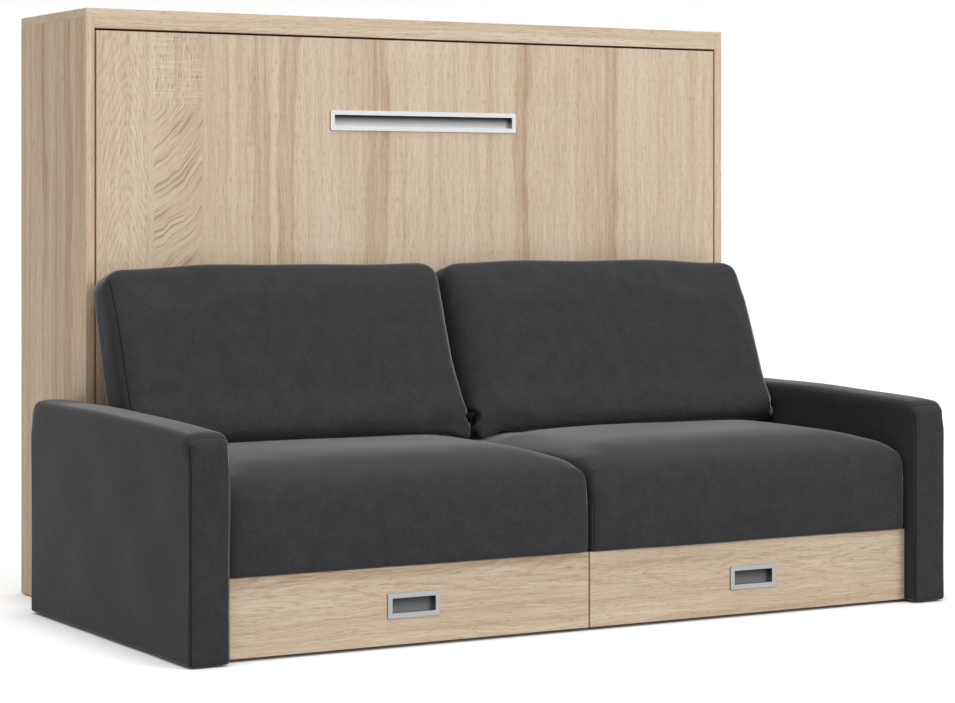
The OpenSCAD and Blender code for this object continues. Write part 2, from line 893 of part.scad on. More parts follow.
// Cushion that lies on z = 0, with a crowned top, round edges and drawn in sides.
// Its top falls towards +Y, and its lower edge at -Y is cut up.
module pillow(w, d, h, crown, r, base_r, corner_r, draw, fall, cut) {
    hw = w / 2;
    hd = d / 2;
    half = min(hw, hd);
    low_rings = [for (s = edge_shares) [edge_in(s, base_r), base_r * s, draw * 0.4]];
    high_rings = [for (i = [len(edge_shares) - 1:-1:0])
        [edge_in(edge_shares[i], r), h - crown - r * edge_shares[i], draw * (i / (len(edge_shares) - 1))]];
    top_rings = [for (s = crown_shares) [r + (half - r) * s * centre_share, h - crown * pow(1 - s, 2), 0]];
    rings = concat(low_rings, high_rings, top_rings);
    flat = [for (k = rings) each [
        for (p = ring(hw - k[0], hd - k[0], max(corner_r - k[0], corner_r * least_corner_share), k[2]))
            [p[0], p[1], k[1]]]];
    points = [for (p = flat) [
        p[0],
        p[1] + cut * (1 - p[2] / h) * (0.5 - p[1] / d),
        p[2] - fall * p[2] / h * max(0, p[1] / hd)]];
    last = len(rings) - 1;
    sides = [for (i = [0:last - 1]) for (j = [0:ring_count - 1]) let (
        a = i * ring_count + j,
        b = i * ring_count + (j + 1) % ring_count
    ) each [[a, a + ring_count, b], [b, a + ring_count, b + ring_count]]];
    base_mid = len(points);
    caps = [for (j = [0:ring_count - 1]) let (k = (j + 1) % ring_count) each [
        [j, k, base_mid],
        [last * ring_count + k, last * ring_count + j, base_mid + 1]]];
    polyhedron(concat(points, [[0, cut / 2, 0], [0, 0, h]]), concat(sides, caps));
}

// Seat cushion with a big crown and round upper edges
module seat_cushion() {
    wide = seat_half - seat_mid;
    deep = seat_front - seat_rear;
    color(cloth) placed() translate([seat_mid + wide / 2, -seat_rear - deep / 2, seat_low])
        pillow(wide, deep, seat_z - seat_low, seat_crown, seat_r, seat_r / 4,
               seat_corner, seat_draw, seat_fall, 0);
}

module seat_cushion_left() {
    left() seat_cushion();
}

module seat_cushion_right() {
    seat_cushion();
}

// Frame of a back cushion: its pivot is the origin, +Y goes through it to the rear, +Z up along it
module rest_place() {
    translate([0, -rest_pivot_out, rest_pivot_z]) rotate([-rest_lean, 0, 0]) children();
}

// Back cushion in front of its board
module back_cushion() {
    wide = rest_end - rest_mid;
    thick = rest_t - rest_board_t - soft_gap;
    color(cloth) placed() rest_place()
        translate([rest_mid + wide / 2, rest_front + thick, (rest_low + rest_high) / 2]) rotate([90, 0, 0])
            pillow(wide, rest_l, thick, rest_crown, rest_r, rest_r / 2, rest_corner, rest_draw, 0, rest_cut);
}

module back_cushion_left() {
    left() back_cushion();
}

module back_cushion_right() {
    back_cushion();
}

module back_board() {
    color(timber) placed() rest_place()
        block([rest_mid + rest_board_in, rest_rear - rest_board_t, board_low],
              [rest_end - rest_board_in, rest_rear, rest_high - rest_r]);
}

module back_board_left() {
    left() back_board();
}

module back_board_right() {
    back_board();
}

// Steel lug at each end of a back cushion's board, with its pivot pin
module back_hinge() {
    color(steel) placed() rest_place() {
        for (end = [0, 1]) {
            plate = end == 0 ? lug_mid : lug_end - lug_t;
            flange = end == 0 ? lug_mid : lug_end - lug_wide;
            pin = end == 0 ? lug_mid - hub_half + lug_play : lug_end - lug_t;
            pin_len = end == 0 ? hub_half + lug_t - lug_play : rest_pin_l + lug_t;
            top = board_low + 3 * lug_r;
            along_x(plate, lug_t) {
                circle(r = lug_r);
                translate([0, -lug_r]) square([rest_rear + lug_t, 2 * lug_r]);
                translate([rest_rear - rest_board_t, 0]) square([rest_board_t + lug_t, top]);
            }
            block([flange, rest_rear, board_low], [flange + lug_wide, rest_rear + lug_t, top]);
            rod_x(pin, pin_len, rest_pin_r);
        }
    }
}

module back_hinge_left() {
    left() back_hinge();
}

module back_hinge_right() {
    back_hinge();
}

// Bushes in the arms for the outer pins
module back_pivot_bushes() {
    start = lug_end + fit_gap;
    length = arm_in + arm_pad - start;
    color(black) placed() both() translate([0, -rest_pivot_out, rest_pivot_z]) difference() {
        rod_x(start, length, rest_pin_r + rest_bush_wall);
        rod_x(start - over, length + 2 * over, rest_pin_r + run_gap);
    }
}

// Drawer front with the recess for its pull
module drawer_front() {
    color(oak) placed() difference() {
        block([front_gap / 2, -drawer_face, toe_gap], [base_half, -drawer_face + board_t, base_h]);
        translate([drawer_x, -drawer_face, drawer_pull_z]) pull_cut(cup_l, cup_h, pull_depth);
    }
}

module drawer_front_left() {
    left() drawer_front();
}

module drawer_front_right() {
    drawer_front();
}

module drawer_pull() {
    color(alloy) placed() translate([drawer_x, -drawer_face, drawer_pull_z])
        cup_pull(cup_l, cup_h, pull_depth);
}

module drawer_pull_left() {
    left() drawer_pull();
}

module drawer_pull_right() {
    drawer_pull();
}

// Two sides and the rear of a drawer box, as separate boards
module drawer_box() {
    low = drawer_low;
    high = drawer_low + drawer_h;
    front = drawer_front_y;
    rear = drawer_front_y + drawer_d;
    color(timber) placed() {
        for (x = [drawer_mid, drawer_end - drawer_t]) {
            block([x, front, low], [x + drawer_t, rear, high]);
        }
        block([drawer_mid + drawer_t, rear - drawer_t, low], [drawer_end - drawer_t, rear, high]);
    }
}

module drawer_box_left() {
    left() drawer_box();
}

module drawer_box_right() {
    drawer_box();
}

module drawer_bottom() {
    color(timber) placed() block([drawer_mid + drawer_t, drawer_front_y, drawer_low],
                                 [drawer_end - drawer_t, drawer_front_y + drawer_d - drawer_t,
                                  drawer_low + drawer_floor_t]);
}

module drawer_bottom_left() {
    left() drawer_bottom();
}

module drawer_bottom_right() {
    drawer_bottom();
}

// One half of a runner, from its inner face at x
module runner_half(x, height) {
    block([x, -base_front, runner_z - height / 2],
          [x + slide_t, -base_front + runner_l, runner_z + height / 2]);
}

// Runner halves on the base, two for each drawer
module runner_rails() {
    color(alloy) placed() both() {
        runner_half(base_t / 2, runner_h);
        runner_half(base_half - base_t - slide_t, runner_h);
    }
}

// Runner halves on a drawer's sides
module runner_slides() {
    color(alloy) placed() {
        runner_half(drawer_mid - slide_t, runner_h * slide_share);
        runner_half(drawer_end, runner_h * slide_share);
    }
}

module runner_slides_left() {
    left() runner_slides();
}

module runner_slides_right() {
    runner_slides();
}

cabinet_side_left();
cabinet_side_right();
cabinet_top();
cabinet_top_rail();
cabinet_lower_panel();
cabinet_back();
cabinet_rear_rail();
cabinet_base_rail();
floor_glides();
pivot_plates();
pivot_bushes();
bed_stops();
gas_spring_studs();
gas_spring_tube_left();
gas_spring_tube_right();
gas_spring_rod_left();
gas_spring_rod_right();
bed_panel();
bed_side_rail_left();
bed_side_rail_right();
bed_long_rails();
bed_centre_rail();
bed_slats();
slat_holders();
mattress();
mattress_straps();
bed_pivot_pins();
bed_pull();
arm_left();
arm_right();
arm_frame_left();
arm_frame_right();
base_side_left();
base_side_right();
base_divider();
base_back();
seat_deck();
seat_cushion_left();
seat_cushion_right();
back_cushion_left();
back_cushion_right();
back_board_left();
back_board_right();
back_hinge_left();
back_hinge_right();
back_pivot_bushes();
centre_hinge_bracket();
drawer_front_left();
drawer_front_right();
drawer_box_left();
drawer_box_right();
drawer_bottom_left();
drawer_bottom_right();
drawer_pull_left();
drawer_pull_right();
runner_rails();
runner_slides_left();
runner_slides_right();
arm_bolts();
sofa_spacers();
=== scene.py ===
import json
import math

import bpy
import numpy as np
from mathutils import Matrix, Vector


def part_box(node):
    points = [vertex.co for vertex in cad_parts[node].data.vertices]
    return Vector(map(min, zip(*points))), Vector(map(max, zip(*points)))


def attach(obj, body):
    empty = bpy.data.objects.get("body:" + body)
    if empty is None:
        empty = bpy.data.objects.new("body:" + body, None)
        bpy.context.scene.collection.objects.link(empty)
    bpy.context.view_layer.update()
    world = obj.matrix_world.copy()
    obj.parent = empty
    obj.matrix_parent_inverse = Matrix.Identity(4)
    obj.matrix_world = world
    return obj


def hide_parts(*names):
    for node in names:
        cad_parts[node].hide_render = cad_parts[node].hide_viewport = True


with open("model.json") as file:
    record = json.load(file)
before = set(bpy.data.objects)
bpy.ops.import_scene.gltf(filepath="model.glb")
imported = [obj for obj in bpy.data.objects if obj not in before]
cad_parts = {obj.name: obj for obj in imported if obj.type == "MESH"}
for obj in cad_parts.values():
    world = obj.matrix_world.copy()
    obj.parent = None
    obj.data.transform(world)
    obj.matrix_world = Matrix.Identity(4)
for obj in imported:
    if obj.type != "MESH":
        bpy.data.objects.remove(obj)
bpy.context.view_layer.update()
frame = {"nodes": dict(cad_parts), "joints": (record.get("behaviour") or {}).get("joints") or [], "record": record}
nodes = frame["nodes"]

# The photograph's camera: its focal length and horizon in pixels, its yaw in degrees, its place in metres
PHOTO_W, PHOTO_H = 955, 703
FOCAL_PX = 2738.6
HORIZON_PX = 206.9
YAW_DEG = 29.93
CAMERA_PLACE = (-3.878, -6.823, 1.123)
SENSOR_MM = 36
CLIP_END = 100

WHITE = (1, 1, 1, 1)
COORD_NODE = "object_place"


def link_object(name, data):
    """New object of this data in the scene."""
    made = bpy.data.objects.new(name, data)
    bpy.context.scene.collection.objects.link(made)
    return made


# ---- Materials ----


class Graph:
    """Node tree of a material or a world, built by small calls."""

    def __init__(self, owner):
        self.owner = owner
        owner.use_nodes = True
        self.tree = owner.node_tree
        self.tree.nodes.clear()

    def put(self, socket, value):
        """Link an output to a socket, or set the socket to a plain value."""
        if isinstance(value, bpy.types.NodeSocket):
            self.tree.links.new(value, socket)
        else:
            socket.default_value = value

    def add(self, kind, inputs=None, **settings):
        made = self.tree.nodes.new(kind)
        for key, value in settings.items():
            setattr(made, key, value)
        for key, value in (inputs or {}).items():
            self.put(made.inputs[key], value)
        return made

    def coord(self):
        """Place in the object's own coordinates, from one node for the whole tree."""
        found = self.tree.nodes.get(COORD_NODE) or self.add("ShaderNodeTexCoord", name=COORD_NODE)
        return found.outputs["Object"]

    def coords(self):
        """The three parts of that place."""
        return self.add("ShaderNodeSeparateXYZ", {0: self.coord()}).outputs

    def noise(self, scale, detail=2, rough=0.5, place=(0, 0, 0), vector=None):
        """Noise with its own scale on each axis, moved by place."""
        inputs = {"Vector": vector or self.coord(), "Scale": scale, "Location": place}
        scaled = self.add("ShaderNodeMapping", inputs).outputs["Vector"]
        inputs = {"Vector": scaled, "Scale": 1, "Detail": detail, "Roughness": rough}
        return self.add("ShaderNodeTexNoise", inputs).outputs["Fac"]

    def math(self, operation, first, second=0.0):
        return self.add("ShaderNodeMath", {0: first, 1: second}, operation=operation).outputs[0]

    def plus(self, first, second):
        return self.math("ADD", first, second)

    def minus(self, first, second):
        return self.math("SUBTRACT", first, second)

    def times(self, first, second):
        return self.math("MULTIPLY", first, second)

    def larger(self, first, second):
        return self.math("MAXIMUM", first, second)

    def span(self, value, low, high, to_low=0.0, to_high=1.0):
        """value from low..high to to_low..to_high, clamped and eased at both ends."""
        inputs = {"Value": value, "From Min": low, "From Max": high, "To Min": to_low, "To Max": to_high}
        return self.add("ShaderNodeMapRange", inputs, interpolation_type="SMOOTHSTEP").outputs["Result"]

    def ramp(self, value, stops):
        made = self.add("ShaderNodeValToRGB", {"Fac": value})
        elements = made.color_ramp.elements
        while len(elements) < len(stops):
            elements.new(0.5)
        for element, (place, colour) in zip(elements, stops):
            element.position = place
            element.color = (*colour, 1)
        return made.outputs["Color"]

    def mix(self, share, first, second, blend="MIX"):
        made = self.add("ShaderNodeMix", {0: share}, data_type="RGBA", blend_type=blend)
        for index, value in ((6, first), (7, second)):
            self.put(made.inputs[index], value if isinstance(value, bpy.types.NodeSocket) else (*value, 1))
        return made.outputs[2]

    def bump(self, height, strength, distance, normal=None):
        inputs = {"Height": height, "Strength": strength, "Distance": distance}
        if normal:
            inputs["Normal"] = normal
        return self.add("ShaderNodeBump", inputs).outputs["Normal"]

    def finish(self, inputs):
        """Close the tree of a material with one shader."""
        shader = self.add("ShaderNodeBsdfPrincipled", inputs)
        self.add("ShaderNodeOutputMaterial", {"Surface": shader.outputs[0]})
        return self.owner


def material(name):
    return Graph(bpy.data.materials.new(name))


def along(axis, across, lengthwise):
    """Scale vector that is lengthwise on one axis and across on the other two."""
    return tuple(lengthwise if i == axis else across for i in range(3))


def darker(colour, share):
    return tuple(c * share for c in colour)


# Oak decor: its colours, and the lines of each figure per metre, across and along the grain
OAK_TONES = (
    (0.33, (0.525, 0.380, 0.252)), (0.44, (0.615, 0.472, 0.342)),
    (0.54, (0.680, 0.537, 0.401)), (0.66, (0.728, 0.597, 0.462)))
OAK_BROWN = (0.43, 0.275, 0.165)
RING_DARK, RING_PALE = (0.40, 0.26, 0.15), (0.78, 0.66, 0.51)
FIBRE_DARK, FIBRE_PALE = (0.44, 0.31, 0.20), (0.78, 0.67, 0.53)
PORE_DARK, SAW_PALE = (0.22, 0.14, 0.08), (0.82, 0.72, 0.59)
STREAKS, FIBRES, PORES, STROKES = (48, 0.9), (360, 9), (430, 38), (165, 7)
BANDS, SWAY, WAVE, SAW = (8, 0.35), (4, 1.2), (11, 2.4), (7, 210)
# Metres by which the slow sway and the faster wave move the arches, the slants, the brown strips, the line
# between strokes and saw lines, the strokes and all of the grain
ARCH_SWAY, SLANT_SWAY, BROWN_WAVE, SPLIT_WAVE, STROKE_SWAY, GRAIN_WAVE = 0.05, 0.02, 0.10, 0.45, 0.30, 0.035
# How strongly each figure colours the ground
BROWN_MOST, BROWN_LEAST, RING_DARK_SHARE, RING_PALE_SHARE = 0.62, 0.30, 0.34, 0.20
FIBRE_DARK_SHARE, FIBRE_PALE_SHARE, PORE_SHARE, SAW_SHARE = 0.34, 0.45, 0.62, 0.34
PLAIN_PORES, STIPPLED_PORES, DART_SHARE = 0.45, 0.45, 0.80
STRIP_SOFT = 0.010      # soft edge of a strip
SPLIT_SOFT = 0.05       # half of the soft change from strokes to saw lines
SLANT = 0.80            # steepness of the strokes in a slanted strip
RING_BOW, RING_POWER, RING_HEIGHT = 8.0, 1.35, 3.0      # curve of the arches
RING_CLIMB = {0: 2.3, 2: -8.5}      # how fast the arches run on, along lying and upright grain
RING_WAVE = 2.4         # unevenness of the arches
RINGS = 18.0            # arches per turn of that curve


def strips(g, across, places):
    """1 inside the strips, given by their middles and half widths, and 0 outside."""
    share = 0.0
    for middle, half in places:
        away = g.math("ABSOLUTE", g.minus(across, middle))
        share = g.larger(share, g.span(away, half, half - STRIP_SOFT))
    return share


def oak(name, axis, slants=(), arches=(), browns=(), split=0.0, start=0.0, shade=1.0, warm=1.0):
    """Light sonoma oak decor, its grain along one axis, with strips of other cuts at given places.

    A slanted strip has dark strokes below split and pale saw lines above it.
    """
    g = material(name)
    place = (start, start * 1.7, start * 0.6)
    parts = g.coords()
    v = parts[axis]
    u = g.plus(*[parts[i] for i in range(3) if i != axis])
    sway = g.minus(g.noise(along(axis, *SWAY), 2, 0.5, place), 0.5)
    wave = g.minus(g.noise(along(axis, *WAVE), 3, 0.6, place), 0.5)
    swayed = g.plus(u, g.times(sway, ARCH_SWAY))
    slanted = strips(g, g.plus(u, g.times(sway, SLANT_SWAY)), slants)
    arched = strips(g, swayed, arches)
    brown = strips(g, g.plus(swayed, g.times(wave, BROWN_WAVE)), browns)
    patch = g.span(g.plus(v, g.times(wave, SPLIT_WAVE)), split + SPLIT_SOFT, split - SPLIT_SOFT)
    below = g.math("MINIMUM", g.minus(g.plus(v, g.times(sway, STROKE_SWAY)), split), 0.0)
    across = g.plus(u, g.times(wave, GRAIN_WAVE))
    across = g.minus(across, g.times(below, g.times(slanted, SLANT)))

    def grain(lines, detail=2, rough=0.6):
        """Noise drawn out along the grain, which bends with it."""
        inputs = {"X": g.times(across, lines[0]), "Y": g.times(v, lines[1]), "Z": start}
        return g.noise((1, 1, 1), detail, rough, vector=g.add("ShaderNodeCombineXYZ", inputs).outputs[0])

    bands = g.noise(along(axis, *BANDS), 3, 0.6, place)
    streaks, fibres = grain(STREAKS, 3), grain(FIBRES, 3)
    pores, strokes = grain(PORES, 1, 0.5), grain(STROKES, 1, 0.5)
    away = g.math("ABSOLUTE", g.minus(swayed, arches[0][0] if arches else 0.0))
    bow = g.times(g.math("POWER", g.times(away, RING_BOW), RING_POWER), RING_HEIGHT)
    turn = g.plus(g.minus(bow, g.times(v, RING_CLIMB[axis])), g.times(wave, RING_WAVE))
    rings = g.math("SINE", g.times(turn, RINGS))
    broken = g.times(arched, g.span(fibres, 0.35, 0.60, 0.4, 1.0))

    # Ground colour, then strips and arches, then fibres, pores and saw lines over them
    colour = g.ramp(g.plus(g.times(bands, 0.45), g.times(streaks, 0.55)), OAK_TONES)
    colour = g.mix(g.times(brown, g.span(streaks, 0.35, 0.60, BROWN_MOST, BROWN_LEAST)), colour, OAK_BROWN)
    colour = g.mix(g.times(g.times(g.span(rings, 0.35, 1.0), broken), RING_DARK_SHARE), colour, RING_DARK)
    colour = g.mix(g.times(g.times(g.span(rings, -0.35, -1.0), broken), RING_PALE_SHARE), colour, RING_PALE)
    colour = g.mix(g.span(fibres, 0.48, 0.66, 0.0, FIBRE_DARK_SHARE), colour, FIBRE_DARK)
    colour = g.mix(g.span(fibres, 0.46, 0.32, 0.0, FIBRE_PALE_SHARE), colour, FIBRE_PALE)
    darts = g.times(g.times(g.span(strokes, 0.57, 0.63), slanted), patch)
    stipple = g.times(slanted, g.minus(1.0, patch))
    pore_share = g.times(g.span(pores, 0.57, 0.66), g.plus(PLAIN_PORES, g.times(stipple, STIPPLED_PORES)))
    dashes = g.larger(pore_share, g.times(darts, DART_SHARE))
    colour = g.mix(g.times(dashes, PORE_SHARE), colour, PORE_DARK)
    saw = g.times(g.span(g.noise(along(axis, *SAW), 1, 0.5, place), 0.60, 0.68), stipple)
    colour = g.mix(g.times(saw, SAW_SHARE), colour, SAW_PALE)
    colour = g.mix(1.0, colour, (shade, shade * (1 + warm) / 2, shade * warm), blend="MULTIPLY")
    return g.finish({
        "Base Color": colour, "Roughness": g.span(fibres, 0.2, 0.8, 0.46, 0.62), "Specular IOR Level": 0.25,
        "Normal": g.bump(g.minus(g.times(fibres, 0.5), dashes), 0.25, 0.0004)})


# Upholstery cloth: its colours, with the painted shade along its seams, its threads per metre across and along,
# the half width of its seams
CLOTH_TONES = (
    (0.38, (0.0198, 0.0198, 0.0214)), (0.52, (0.0289, 0.0289, 0.0312)), (0.68, (0.0439, 0.0439, 0.0476)))
THREADS = (700, 90)
SEAM_PAINTED_SHADE = (0.006, 0.006, 0.007)
SEAM_FROM, SEAM_TO = 0.0006, 0.0026


def cloth(name):
    """Dense anthracite upholstery cloth with a short nap and stitched seams, shade painted along each seam line.
    """
    g = material(name)
    threads = [g.noise(along(axis, *THREADS), 2, 0.6) for axis in range(3)]
    weave = g.larger(g.larger(threads[0], threads[1]), threads[2])
    mottle = g.noise((22, 22, 22), 4, 0.6)
    brushed = g.noise((160, 160, 160), 3, 0.6)
    colour = g.ramp(g.plus(g.times(weave, 0.5), g.times(g.plus(mottle, brushed), 0.25)), CLOTH_TONES)
    distance = g.add("ShaderNodeAttribute", attribute_name="seam").outputs["Fac"]
    share = g.add("ShaderNodeAttribute", attribute_name="seam_shade_and_bump").outputs["Fac"]
    # Painted shade along the seam line, where the crease would be shaded; the bump sinks the same line
    seam_shade_and_bump = g.times(g.span(g.math("ABSOLUTE", distance), SEAM_FROM, SEAM_TO, 1.0, 0.0), share)
    relief = g.bump(weave, 0.5, 0.0008, g.bump(brushed, 0.2, 0.001))
    return g.finish({
        "Base Color": g.mix(g.times(seam_shade_and_bump, 0.8), colour, SEAM_PAINTED_SHADE), "Roughness": 0.92,
        "Specular IOR Level": 0.2, "Sheen Weight": 0.90, "Sheen Roughness": 0.26,
        "Sheen Tint": (0.85, 0.86, 0.90, 1), "Normal": g.bump(g.minus(1.0, seam_shade_and_bump), 0.6, 0.002, relief)})


BRUSH_LINES = (1400, 14)


def metal(name, axis, colour, rough, streak=0.12, bump=0.08, metallic=1.0):
    """Metal, or painted metal, with fine brush lines along one axis."""
    g = material(name)
    lines = g.noise(along(axis, *BRUSH_LINES), 2, 0.6)
    smudge = g.noise((9, 9, 9), 3, 0.6)
    tint = g.mix(g.span(lines, 0.3, 0.7, 0.0, streak), colour, darker(colour, 0.6))
    value = g.plus(g.span(lines, 0.2, 0.8, rough - 0.07, rough + 0.07), g.times(smudge, 0.06))
    return g.finish({
        "Base Color": tint, "Metallic": metallic, "Roughness": value, "Normal": g.bump(lines, bump, 0.0003)})


# Painted shade at the upper edge of a pull's cup, where the frame shades the recess
CUP_PAINTED_SHADE = (0.025, 0.025, 0.027)
# Where the frame of a pull ends and its cup begins, behind the board's face
CUP_FROM, CUP_TO = 0.0005, 0.003


def pull_metal(name, board_y, middle_z, half_high, bright, cup):
    """Brushed aluminium pull in a board: its frame bright, its cup painted with shade above and light below."""
    g = material(name)
    lines = g.noise(along(0, *BRUSH_LINES), 2, 0.6)
    place = g.coords()
    inside = g.span(place[1], board_y + CUP_FROM, board_y + CUP_TO)
    height = g.math("DIVIDE", g.minus(place[2], middle_z), half_high)
    pale, dull = (bright, bright, bright * 1.01), (bright * 0.74, bright * 0.74, bright * 0.75)
    frame_tint = g.mix(g.span(lines, 0.3, 0.7, 0.0, 0.20), pale, dull)
    # Painted light and shade in the cup: the cup brightness at its lower edge, fading to painted shade at its
    # upper edge
    cup_painted_light_and_shade = g.mix(g.span(height, -0.75, 0.50), (cup, cup, cup), CUP_PAINTED_SHADE)
    rough = g.span(lines, 0.2, 0.8, 0.30, 0.44)
    return g.finish({
        "Base Color": g.mix(inside, frame_tint, cup_painted_light_and_shade), "Metallic": g.span(inside, 0, 1, 1.0, 0.35),
        "Roughness": g.plus(rough, g.times(inside, 0.15)), "Normal": g.bump(lines, 0.08, 0.0003)})


TIMBER_TONES = ((0.35, (0.52, 0.38, 0.23)), (0.50, (0.66, 0.51, 0.34)), (0.66, (0.75, 0.61, 0.43)))


def timber(name):
    """Pale birch ply and board for what is hidden."""
    g = material(name)
    bands = g.noise((1.2, 14, 14), 3, 0.55)
    grain = g.noise((9, 190, 190), 3, 0.6)
    colour = g.ramp(g.plus(g.times(bands, 0.6), g.times(grain, 0.4)), TIMBER_TONES)
    return g.finish({
        "Base Color": colour, "Roughness": g.span(grain, 0.3, 0.7, 0.5, 0.66),
        "Normal": g.bump(grain, 0.2, 0.0005)})


def moulded(name, colour, rough, specular=0.5):
    """Moulded plastic, rubber, webbing or powder coat with a fine spark texture."""
    g = material(name)
    spark = g.noise((900, 900, 900), 2, 0.6)
    haze = g.noise((30, 30, 30), 3, 0.6)
    tint = g.mix(g.span(haze, 0.3, 0.7, 0.0, 0.35), colour, tuple(min(1, c) for c in darker(colour, 1.8)))
    return g.finish({
        "Base Color": tint, "Roughness": g.span(haze, 0.3, 0.7, rough - 0.06, rough + 0.06),
        "Specular IOR Level": specular, "Normal": g.bump(spark, 0.25, 0.0003)})


TICKING_TONES = ((0.38, (0.66, 0.65, 0.61)), (0.60, (0.80, 0.79, 0.75)))


def ticking(name):
    """Knitted off-white mattress cover."""
    g = material(name)
    knit = g.noise((500, 500, 500), 2, 0.6)
    cloud = g.noise((6, 6, 6), 3, 0.6)
    tint = g.ramp(g.plus(g.times(knit, 0.5), g.times(cloud, 0.5)), TICKING_TONES)
    return g.finish({
        "Base Color": tint, "Roughness": 0.9, "Sheen Weight": 0.15, "Normal": g.bump(knit, 0.4, 0.0006)})


# Finish of each material slot, and the boards that have an oak of their own
UPRIGHT_OAK = oak("oak_upright", 2, browns=((-0.70, 0.030), (-0.52, 0.018)), start=7.3, warm=0.90)
OAKS = {
    "bed_panel": oak(
        "oak_panel", 2, slants=((-0.562, 0.084),), arches=((-0.722, 0.082),), split=1.40,
        browns=((-0.297, 0.034), (-0.216, 0.030), (0.070, 0.036), (0.560, 0.024), (0.860, 0.034))),
    "cabinet_top": oak("oak_top", 0, start=2.1),
    "cabinet_top_rail": oak("oak_rail", 0, start=4.6),
    "drawer_front_left": oak(
        "oak_drawer_left", 0, arches=((-0.520, 0.050),), browns=((-0.490, 0.022),), start=1.3, shade=0.87),
    "drawer_front_right": oak("oak_drawer_right", 0, arches=((-0.540, 0.040),), start=5.2, shade=0.87),
}
SOFA_CLOTH = cloth("anthracite_cloth")
TICKING = ticking("mattress_knit")
FINISHES = {
    "oak_decor": UPRIGHT_OAK,
    "plain_timber": timber("birch_board"),
    "sofa_cloth": SOFA_CLOTH,
    "ticking": TICKING,
    "webbing": moulded("black_webbing", (0.02, 0.02, 0.022), 0.8),
    "black_plastic": moulded("black_moulding", (0.018, 0.018, 0.02), 0.5),
    "buffer_rubber": moulded("rubber_buffer", (0.012, 0.012, 0.012), 0.8),
    "brushed_aluminium": metal("aluminium_brushed", 0, (0.80, 0.80, 0.81), 0.30),
    "zinc_steel": metal("zinc_plated", 1, (0.62, 0.63, 0.65), 0.38),
    "bright_steel": metal("steel_ground", 0, (0.75, 0.76, 0.78), 0.18),
    "black_paint": metal("tube_black", 2, (0.02, 0.02, 0.022), 0.35, streak=0.05, bump=0.04, metallic=0.0),
    # Black powder coat, its colour darkened further as painted shade so the hinge hubs read as the dark gap
    # between the back cushions
    "grey_steel": moulded("black_powder_and_painted_shade", (0.006, 0.006, 0.007), 0.85, specular=0.05),
}

# Each pull with its board, the brightness of its frame, lower on the drawer pulls as painted shade, and the
# painted light at the foot of its cup
PULLS = {
    "bed_pull": ("bed_panel", 0.45, 0.62),
    "drawer_pull_left": ("drawer_front_left", 0.36, 0.17),
    "drawer_pull_right": ("drawer_front_right", 0.36, 0.17),
}

# Width of the eased edges of boards and pulls, and how they are made
BOARDS = (
    "cabinet_side_left", "cabinet_side_right", "cabinet_top", "cabinet_top_rail", "cabinet_lower_panel",
    "bed_panel", "drawer_front_left", "drawer_front_right")
EDGED = {**dict.fromkeys(BOARDS, 0.0012), **dict.fromkeys(PULLS, 0.0010)}
EDGE_STEPS, EDGE_TURN_DEG, JOIN_REACH = 2, 40, 0.00001


def dress(obj, finish):
    """One material for the whole of a piece."""
    obj.data.materials.clear()
    obj.data.materials.append(finish)


def dress_nodes():
    """Finish every node of the frame and ease the edges of its boards and pulls."""
    for row in frame["record"]["subparts"]:
        name = row["node"]
        dress(nodes[name], OAKS.get(name) or FINISHES[row["material_slot"]])
    for name, (board, bright, cup) in PULLS.items():
        low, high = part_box(name)
        half_high = (high[2] - low[2]) / 2
        board_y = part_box(board)[0][1]
        dress(nodes[name], pull_metal(f"{name}_metal", board_y, low[2] + half_high, half_high, bright, cup))
    for name, width in EDGED.items():
        nodes[name].modifiers.new("joined", "WELD").merge_threshold = JOIN_REACH
        edge = nodes[name].modifiers.new("eased_edges", "BEVEL")
        edge.width, edge.segments, edge.limit_method = width, EDGE_STEPS, "ANGLE"
        edge.angle_limit = math.radians(EDGE_TURN_DEG)


dress_nodes()


# ---- Soft pieces ----
# Each right-hand one is made once, and its mirror image gets its own unevenness. A piece has the pitch of its
# grid, the radius that its edges can have, and a cap on how far the cloth moves.

PRESSURE, STIFFNESS, FRAMES = 4.0, 15.0, 20
SIDEWAYS_SHARE = 0.3    # how much of the cloth's sideways move is kept
NOW, NEIGHBOURS = 0.4, 0.6      # weights of a point and of its neighbours in each round of averaging
FOOT = 0.02             # height of the held strip at a piece's underside
SEAM_DEEP, SEAM_WIDE = 0.0015, 0.006
ARM_GRID, ARM_TICKS, ARM_CAP = 0.016, 0.012, 0.004
SEAT_GRID, SEAT_EDGE, SEAT_CAP = 0.016, 0.010, 0.022
REST_GRID, REST_EDGE, REST_CAP = 0.014, 0.046, 0.022
BED_GRID, BED_EDGE, BED_CAP = 0.022, 0.030, 0.012
REST_LEAN = math.radians(20)
MIDDLE_PLAY = 0.002     # half of the gap between the left and the right cushion
TICK_TURNS_DEG = (45, 30, 15)
WAVES = 6


def points_of(mesh):
    found = np.empty(len(mesh.vertices) * 3)
    mesh.vertices.foreach_get("co", found)
    return found.reshape(-1, 3)


def normals_of(mesh):
    found = np.empty(len(mesh.vertices) * 3)
    mesh.vertex_normals.foreach_get("vector", found)
    return found.reshape(-1, 3)


def place_points(mesh, points):
    mesh.vertices.foreach_set("co", np.ascontiguousarray(points).ravel())
    mesh.update()


def smooth_step(value, low, high):
    share = np.clip((value - low) / (high - low), 0, 1)
    return share * share * (3 - 2 * share)


def corners_of(node):
    """Low and high corner of a node's box."""
    return (np.array(c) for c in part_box(node))


def rise_of(points, low, high):
    """0 at the underside of a piece, 1 at its top."""
    return (points[:, 2] - low[2]) / (high[2] - low[2])


